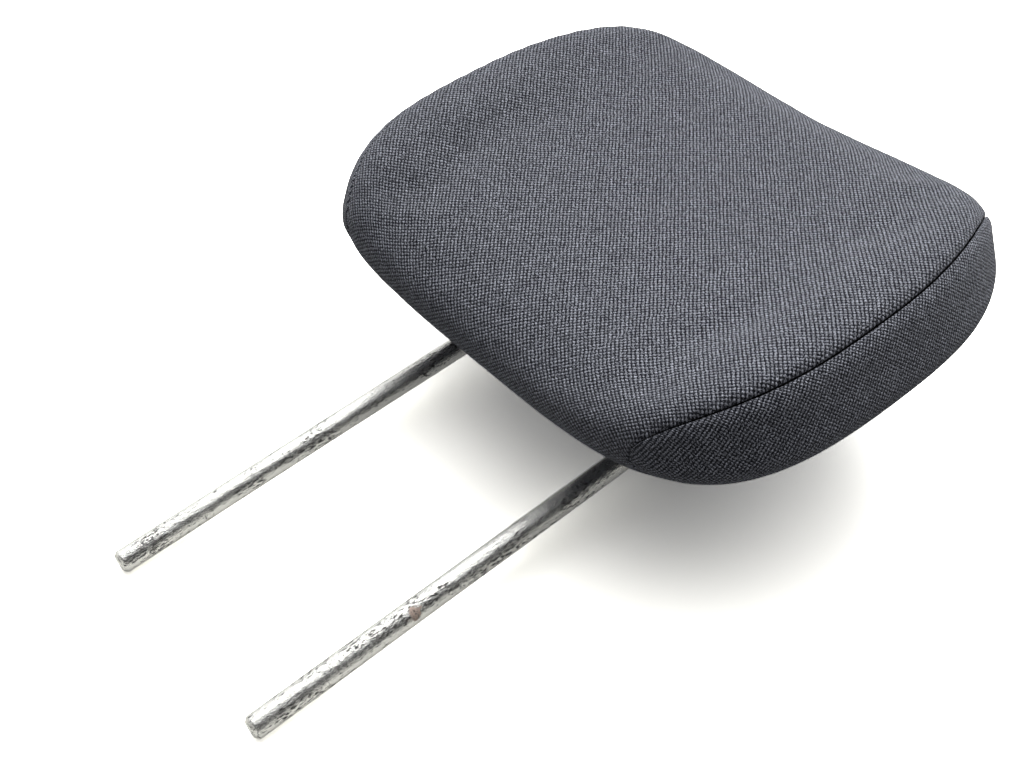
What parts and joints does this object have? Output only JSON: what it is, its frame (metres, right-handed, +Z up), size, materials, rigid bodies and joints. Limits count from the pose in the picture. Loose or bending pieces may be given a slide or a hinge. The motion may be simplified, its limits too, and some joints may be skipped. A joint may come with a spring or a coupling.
{
  "type": "car headrest",
  "caption": "Padded car headrest in dark grey woven fabric, held up by its bent round steel posts, lying on its back.",
  "frame": {"origin": "centre of the bounding box's bottom face, on the floor that the headrest lies on", "axes": "+Z up out of the front face, +Y from the post tips towards the top of the headrest, +X across the cushion"},
  "size_m": [0.2748, 0.3598, 0.1082],
  "materials": {
    "bar_steel": "worn zinc plating with rust spots",
    "screw_steel": "plain zinc plated",
    "core_plastic": "moulded, matt",
    "strip_plastic": "extruded, matt",
    "foam": "moulded foam skin",
    "cover_fabric": "fine birdseye weave, dark grey with a blue cast"
  },
  "bodies": {
    "root": {"post_bow": "bar_steel", "core_front_shell": "core_plastic", "core_rear_shell": "core_plastic", "core_screw_1": "screw_steel", "core_screw_2": "screw_steel", "core_screw_3": "screw_steel", "core_screw_4": "screw_steel", "foam_pad": "foam", "cover_centre_panel": "cover_fabric", "cover_left_gusset": "cover_fabric", "cover_right_gusset": "cover_fabric", "closure_strip_front": "strip_plastic", "closure_strip_rear": "strip_plastic"}
  },
  "joints": []
}
